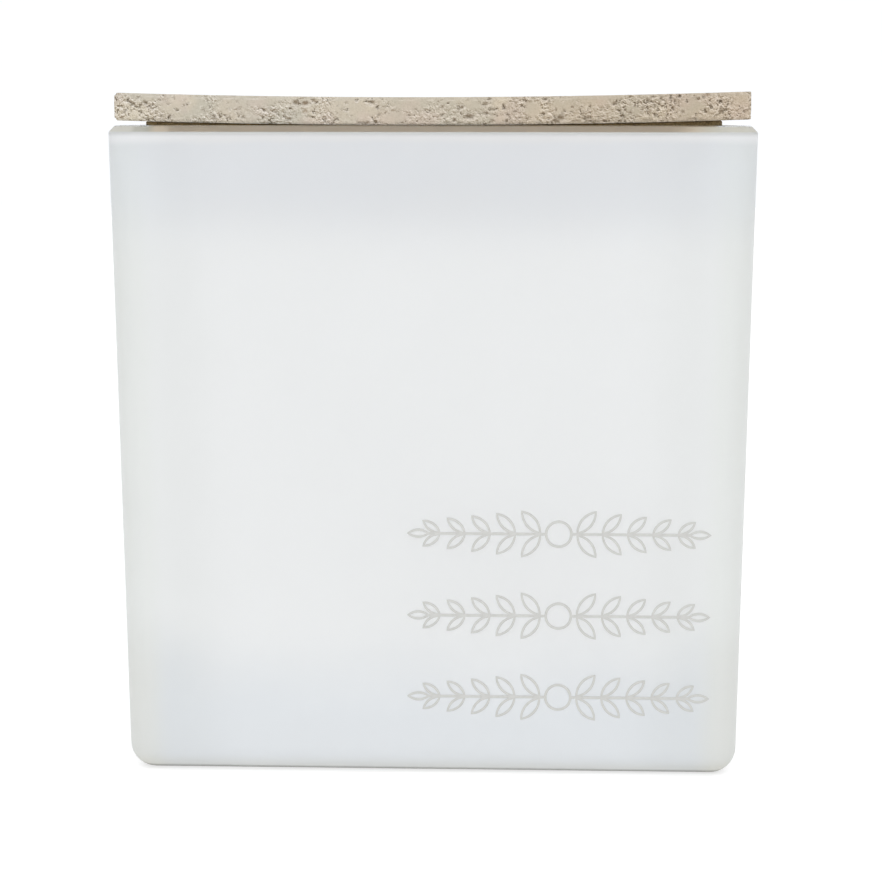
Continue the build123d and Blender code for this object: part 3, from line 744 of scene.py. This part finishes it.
def stone_block(name, hw, corner, edge_r, z0, z1, sizes, plans, pits, top_pits, seed, material, curved,
                chip, hand=(), side=None):
    """A rounded square block as rings round its edge that thin out inwards,
    with pits and chips cut into it. z0 and z1 are its two faces,
    which follow the slab's curve where curved says so."""
    n_side, n_corner, rows = sizes
    verts, faces = [], []
    thick = z1 - z0

    def add_ring(inset, z, ns, nc, arris=False):
        p = ring(hw - inset, max(corner - inset, 0.25), ns, nc)
        h = np.full(len(p), z)
        if arris and hand:
            # the right-hand arrises are cut almost sharp
            w = np.clip((p[:, 0] - hw + 3.2) / 2.4, 0, 1)
            q = ring(hw - inset * 0.3, max(corner - inset * 0.3, 0.25), ns, nc)
            p = p + (q - p) * w[:, None]
            face = z0 if z < (z0 + z1) / 2 else z1
            h = h + (face - h) * 0.7 * w
        start = len(verts)
        verts.extend((x, y, t) for (x, y), t in zip(p, h))
        return start, len(p)

    def join(a, b, up):
        (sa, na), (sb, nb) = a, b
        if na == nb:
            for i in range(na):
                j = (i + 1) % na
                f = (sa + i, sa + j, sb + j, sb + i)
                faces.append(f if up else f[::-1])
        else:
            for i in range(nb):
                j = (i + 1) % nb
                a0, a1, a2 = sa + 2 * i, sa + 2 * i + 1, sa + (2 * i + 2) % na
                for f in ((a0, a1, sb + i), (a1, sb + j, sb + i), (a1, a2, sb + j)):
                    faces.append(f if up else f[::-1])

    er = edge_r
    side = side or [(0.0, z) for z in np.linspace(z0 + er, z1 - er, rows)]
    top_arc = [(er - er * math.cos(a), z1 - er + er * math.sin(a)) for a in np.linspace(0, math.pi / 2, 5)[1:]]
    low_arc = [(er - er * math.cos(a), z0 + er - er * math.sin(a)) for a in np.linspace(math.pi / 2, 0, 5)[:-1]]
    starts = [add_ring(i, z, n_side, n_corner, (i, z) not in side) for i, z in low_arc + side + top_arc]
    for a, b in zip(starts, starts[1:]):
        join(a, b, True)
    for first, z, plan, up in ((starts[-1], z1, plans[0], True), (starts[0], z0, plans[1], False)):
        prev, ns, nc = first, n_side, n_corner
        for inset, halve in plan:
            if halve:
                ns, nc = ns // 2, nc // 2
            cur = add_ring(inset, z, ns, nc)
            join(prev, cur, up)
            prev = cur
        c = len(verts)
        verts.append((0.0, 0.0, z))
        s, n = prev
        for i in range(n):
            f = (s + i, s + (i + 1) % n, c)
            faces.append(f if up else f[::-1])

    v = np.array(verts)
    ax, ay = np.abs(v[:, 0]), np.abs(v[:, 1])
    d_side = hw - np.maximum(ax, ay)
    side_w = np.clip(1 - d_side / er, 0, 1)
    top_w = np.clip(1 - (z1 - v[:, 2]) / er, 0, 1)
    low_w = np.clip(1 - (v[:, 2] - z0) / er, 0, 1)
    zero = 0 * v[:, 0]
    out = np.where((ax > ay)[:, None], np.c_[np.sign(v[:, 0]), zero, zero], np.c_[zero, np.sign(v[:, 1]), zero])
    up = np.c_[zero, zero, np.where(v[:, 2] > (z0 + z1) / 2, 1.0, -1.0)]
    face_w = np.maximum(top_w, low_w)
    nrm = out * (side_w + 1e-4)[:, None] + up * (face_w + 1e-4)[:, None]
    nrm /= np.linalg.norm(nrm, axis=1)[:, None]

    tree = mathutils.kdtree.KDTree(len(v))
    for i, p in enumerate(v):
        tree.insert(p, i)
    tree.balance()
    rng = np.random.default_rng(seed)
    depth, pit_shade, lip_highlight, busy = (np.zeros(len(v)) for _ in range(4))

    def hollow(centre, u, w, a, b, turn, deep):
        """An uneven elliptical hollow; u and w span the face it is cut into."""
        cs, sn = math.cos(math.radians(turn)), math.sin(math.radians(turn))
        n = np.cross(u, w)
        off = Vector(rng.uniform(-50, 50, 3))
        for co, i, _ in tree.find_range(Vector(centre), max(a, b) * 1.7):
            d = np.array(co) - centre
            p, q, r = d @ u, d @ w, d @ n
            p, q = p * cs + q * sn, q * cs - p * sn
            wob = 1 + 0.55 * noise.noise(Vector(co) / (0.6 * max(a, b)) + off) + 0.5 * noise.noise(Vector(co) / 0.34)
            k = math.sqrt((p / a) ** 2 + (q / b) ** 2 + (r / max(a, b)) ** 2) * max(wob, 0.3)
            cut = deep * min(1, max(0, (1.1 - k) / 0.8))
            if cut > depth[i]:
                depth[i] = cut
            shade = 0.72 + 0.28 * max(-1, min(1, q / b * 1.3))      # the upper part lies in shadow
            # painted shade inside the hollow, darker towards its top
            pit_shade[i] = max(pit_shade[i], min(1, max(0, (1.08 - k) / 0.6)) * min(1, deep / 0.42) * shade)
            # painted highlight round the hollow's rim, strongest on its lower side
            if 1.0 < k < 1.65:
                lit = 1 - abs(k - 1.25) / 0.4
                lip_highlight[i] = max(lip_highlight[i], lit * (0.30 + 0.70 * max(0, -q / b)) * min(1, deep / 0.4))
            busy[i] = max(busy[i], min(1, max(0, 1.9 - k)))

    def clustered(p, bias):
        return noise.noise(Vector(p) / 12.0 + Vector((seed, 3.3, 0))) + 0.5 * noise.noise(Vector(p) / 4.0) > bias

    Z = np.array((0.0, 0, 1))
    sides = [(np.array((1.0, 0, 0)), np.array((0, -hw, 0.0))), (np.array((0, 1.0, 0)), np.array((hw, 0.0, 0))),
             (np.array((-1.0, 0, 0)), np.array((0, hw, 0.0))), (np.array((0, -1.0, 0)), np.array((-hw, 0.0, 0)))]
    for x, h, a, b, turn, deep in hand:
        hollow(sides[0][1] + sides[0][0] * x + Z * (z0 + h), sides[0][0], Z, a * 0.74, b * 0.80, turn, deep)
    for k, (u, c) in enumerate(sides):
        count = pits
        for _ in range(count):
            t = rng.uniform(-hw, hw)
            h = thick * rng.uniform(0, 1) ** 1.25
            size = 0.26 + 0.60 * rng.uniform() ** 4
            a, b = size * rng.uniform(0.9, 1.7), size * rng.uniform(0.55, 1.0)
            turn, deep = rng.normal(0, 30), size * rng.uniform(0.45, 0.75)
            centre = c + u * t + Z * (z0 + h)
            small = size < 0.5
            if clustered(centre, 0.0 if small else 0.15 if not (k == 0 and hand) else 0.45):
                hollow(centre, u, Z, a, b, turn, min(deep, 0.6))
    X, Y = np.array((1.0, 0, 0)), np.array((0, 1.0, 0))
    for _ in range(top_pits):
        centre = np.array((*rng.uniform(-hw, hw, 2), z1 if curved != "plate" else z0))
        size = 0.45 + 1.5 * rng.uniform() ** 4
        a, b = size * rng.uniform(1.0, 2.2), size * rng.uniform(0.6, 1.0)
        turn, deep = rng.normal(8, 22), size * rng.uniform(0.35, 0.6)
        if clustered(centre * (0.7, 1.3, 1), 0.06):
            hollow(centre, X, Y, a, b, turn, min(deep, 0.9))

    for i, (x, y, z) in enumerate(v):
        p = Vector((x, y, z))
        edge = min(side_w[i], face_w[i])
        d = 0.0
        if side_w[i] > 0:
            rough = 0.06 * abs(noise.noise(p / 3.0)) + 0.05 * abs(noise.noise(p / 0.9))
            d += rough
        else:
            d += 0.03 * abs(noise.noise(p / 6.0))
        if edge > 0.02 and hand and x < 2.0 - hw:
            d += 0.34 * min(edge * 1.6, 1)          # the left-hand arrises are worn round
        if edge > 0.02:
            d += max(0.0, noise.noise(p / 1.9 + Vector((1, 7, seed))) - 0.10) * min(edge * 2, 1) * chip
        depth[i] = max(depth[i], 0) + d
    v = v - nrm * depth[:, None]
    if curved == "slab":
        v[:, 2] += bow(v[:, 0])
    elif curved == "plate":
        v[:, 2] += bow(v[:, 0]) * np.clip((v[:, 2] - GROOVE_Z1 - 0.4) / (z1 - GROOVE_Z1 - 0.8), 0, 1)
    obj = make_object(name, v * MM, faces, [material])
    calm = np.zeros(len(v))
    front = (v[:, 1] < 0) & (ay > ax)
    for x, h, a, b in FRONT_CALM if hand else ():
        k = np.hypot((v[:, 0] - x) / a, (v[:, 2] - z0 - bow(v[:, 0]) - h) / b)
        calm = np.maximum(calm, np.clip((1.25 - k) / 0.5, 0, 1) * front)
    lean = np.empty(len(v) * 3, np.float32)
    obj.data.vertices.foreach_get("normal", lean)
    tilt = lean.reshape(-1, 3)[:, 2] * (side_w > 0.98) * (face_w < 0.05)
    for key, data in (("pit_shade", pit_shade), ("lip_highlight", lip_highlight), ("busy", busy), ("tilt", tilt), ("calm", calm)):
        attr = obj.data.attributes.new(key, "FLOAT", "POINT")
        attr.data.foreach_set("value", data.astype(np.float32))
    return obj


def slab():
    top = [(i, False) for i in (1.05, 1.4, 1.8, 2.2)]
    top += [(i, k == 0) for k, i in enumerate(np.arange(2.8, 37.0, 0.8))]
    top += [(i, k == 0) for k, i in enumerate(np.arange(37.8, 56.0, 0.8))]
    top += [(i, k == 0) for k, i in enumerate(np.arange(57.0, 73.0, 1.0))]
    low = [(1.1, False), (1.6, True), (2.4, True)] + [(i, k == 0) for k, i in enumerate(np.arange(3.6, 72.0, 3.0))]
    z0 = JAR_H + LID_GAP
    obj = stone_block("stone_slab", LID_W / 2, LID_CORNER_R, LID_EDGE_R, z0, z0 + LID_T,
                      (440, 8, 16), (top, low), 330, 1500, 11, STONE, "slab", 0.9, FRONT_PITS)
    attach(obj, "lid")
    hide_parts("lid_slab")
    return obj


def plate():
    """The thick square seat bonded under the slab, with the groove for its seal."""
    g0, g1, d = GROOVE_Z0, GROOVE_Z1, GROOVE_D
    side = [(0.0, z) for z in np.linspace(PLUG_Z0 + 0.35, g0 - 0.2, 5)]
    side += [(0.04, g0 - 0.06), (0.15, g0), (d - 0.15, g0), (d - 0.04, g0 + 0.04), (d, g0 + 0.15), (d, (g0 + g1) / 2),
             (d, g1 - 0.15), (d - 0.04, g1 - 0.04), (d - 0.15, g1), (0.15, g1), (0.04, g1 + 0.06)]
    z1 = JAR_H + LID_GAP - 0.01
    side += [(0.0, z) for z in np.linspace(g1 + 0.2, z1 - 0.35, 7)]
    top = [(0.8, False), (2.0, True), (6.0, True)] + [(i, k == 0) for k, i in enumerate(np.arange(12.0, 64.0, 6.0))]
    low = [(0.8, False), (1.2, False), (1.8, True)] + [(i, False) for i in np.arange(2.8, 24.0, 1.0)]
    low += [(i, k == 0) for k, i in enumerate(np.arange(24.8, 66.0, 1.6))]
    obj = stone_block("stone_seat", PLUG_W / 2, PLUG_EDGE_R, 0.35, PLUG_Z0, z1, (256, 16, 5), (top, low),
                      110, 900, 23, STONE_BONDED, "plate", 0.6, side=side)
    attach(obj, "lid")
    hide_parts("lid_plug")
    return obj


def seal():
    """A silicone ring in the seat's groove, with three soft lips round it."""
    out, back = SEAL_W / 2, PLUG_W / 2 - GROOVE_D + 0.03
    mid = (SEAL_Z0 + SEAL_Z1) / 2
    prof = [(back, SEAL_Z1), (out - 1.1, SEAL_Z1), (out - 0.75, SEAL_Z1 - 0.04)]
    for c in (mid + 0.78, mid, mid - 0.78):
        prof += [(out - 0.42, c + 0.34), (out - 0.16, c + 0.24), (out - 0.03, c + 0.10), (out, c),
                 (out - 0.03, c - 0.10), (out - 0.16, c - 0.24), (out - 0.42, c - 0.34)]
    prof += [(out - 0.75, SEAL_Z0 + 0.04), (out - 1.1, SEAL_Z0), (back, SEAL_Z0)]
    verts, faces = [], []
    for hw, z in prof:
        p = ring(hw, PLUG_EDGE_R + hw - PLUG_W / 2, 60, 12)
        n = len(p)
        verts.extend((x, y, z) for x, y in p)
    rows = len(prof)
    for k in range(rows):
        a, b = k * n, (k + 1) % rows * n
        for i in range(n):
            j = (i + 1) % n
            faces.append((a + i, b + i, b + j, a + j))
    obj = make_object("silicone_seal", np.array(verts) * MM, faces, [SILICONE])
    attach(obj, "lid")
    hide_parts("lid_seal")
    return obj


# ----------------------------------------------------------- carried CAD nodes
def paint(node, material):
    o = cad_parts[node]
    o.data.materials.clear()
    o.data.materials.append(material)


jar()
wax()
k = 0
for sy in (-1, 1):
    for sx in (-1, 1):
        k += 1
        wick(k, sx * WICK_AT, sy * WICK_AT)
slab()
plate()
seal()
for k in range(1, 5):
    paint(f"wick_tab_{k}", STEEL)
    paint(f"wick_sticker_{k}", FOAM)
for k in range(1, 4):
    paint(f"ornament_row_{k}", INK)

# ------------------------------------------------------------------ floor, light
bpy.ops.mesh.primitive_grid_add(x_subdivisions=8, y_subdivisions=8, size=8.0, location=(0, 0, 0))
floor = bpy.context.object
floor.name = "floor"
floor.data.materials.append(pale_floor())

world = bpy.data.worlds.new("studio")
scene.world = world
world.use_nodes = True
wt = world.node_tree
wt.nodes.clear()


def wnode(kind, **values):
    n = wt.nodes.new(kind)
    for k, v in values.items():
        setattr(n, k, v)
    return n


def wmath(op, a, b, clamp=False):
    n = wnode("ShaderNodeMath", operation=op, use_clamp=clamp)
    for i, v in enumerate((a, b)):
        if isinstance(v, bpy.types.NodeSocket):
            wt.links.new(v, n.inputs[i])
        else:
            n.inputs[i].default_value = v
    return n.outputs[0]


# a white room: brightest overhead, a little darker to the two sides
wc = wnode("ShaderNodeTexCoord")
ws = wnode("ShaderNodeSeparateXYZ")
wt.links.new(wc.outputs["Generated"], ws.inputs[0])
lift = wmath("MAXIMUM", ws.outputs[2], 0.0)
front = wmath("MAXIMUM", wmath("MULTIPLY", ws.outputs[1], -1.0), 0.0)
level = wmath("ADD", ROOM_LEVEL, wmath("MULTIPLY", wmath("POWER", lift, 1.5), ROOM_TOP))
level = wmath("ADD", level, wmath("MULTIPLY", front, ROOM_FRONT))
level = wmath("SUBTRACT", level, wmath("MULTIPLY", wmath("POWER", wmath("ABSOLUTE", ws.outputs[0], 0.0), 2.0), ROOM_SIDE))
path = wnode("ShaderNodeLightPath")
white = wnode("ShaderNodeMix", data_type="FLOAT")
wt.links.new(path.outputs["Is Camera Ray"], white.inputs[0])
wt.links.new(level, white.inputs[2])
white.inputs[3].default_value = 1.02
bg = wnode("ShaderNodeBackground")
bg.inputs[0].default_value = (0.985, 1.0, 1.025, 1.0)
wt.links.new(white.outputs[0], bg.inputs[1])
wo = wnode("ShaderNodeOutputWorld")
wt.links.new(bg.outputs[0], wo.inputs[0])


def area(name, loc, target, size, power, color=(1, 1, 1)):
    data = bpy.data.lights.new(name, "AREA")
    data.shape = "RECTANGLE"
    data.size, data.size_y = size
    data.energy = power
    data.color = color
    o = bpy.data.objects.new(name, data)
    o.location = loc
    o.rotation_euler = (Vector(target) - Vector(loc)).to_track_quat("-Z", "Y").to_euler()
    scene.collection.objects.link(o)
    return o


area("soft_top", (0.2, -0.9, 1.4), (0, 0, 0.08), (1.4, 1.4), 2.0)

# ------------------------------------------------------------------------ camera
yaw, pitch, roll = math.radians(2.535), math.radians(7.044), math.radians(0.054)
cam_at = Vector((0.0294617, -0.6840184, 0.155789))
fwd = Vector((-math.sin(yaw) * math.cos(pitch), math.cos(yaw) * math.cos(pitch), -math.sin(pitch)))
right = fwd.cross(Vector((0, 0, 1))).normalized()
up = right.cross(fwd)
c, s = math.cos(roll), math.sin(roll)
right, up = c * right + s * up, c * up - s * right
cam_data = bpy.data.cameras.new("camera")
cam_data.sensor_fit = "HORIZONTAL"
cam_data.sensor_width = 36.0
cam_data.lens = 2613.324 / 882 * 36.0
cam = bpy.data.objects.new("camera", cam_data)
cam.matrix_world = Matrix((
    (right.x, up.x, -fwd.x, cam_at.x),
    (right.y, up.y, -fwd.y, cam_at.y),
    (right.z, up.z, -fwd.z, cam_at.z),
    (0, 0, 0, 1),
))
scene.collection.objects.link(cam)
scene.camera = cam
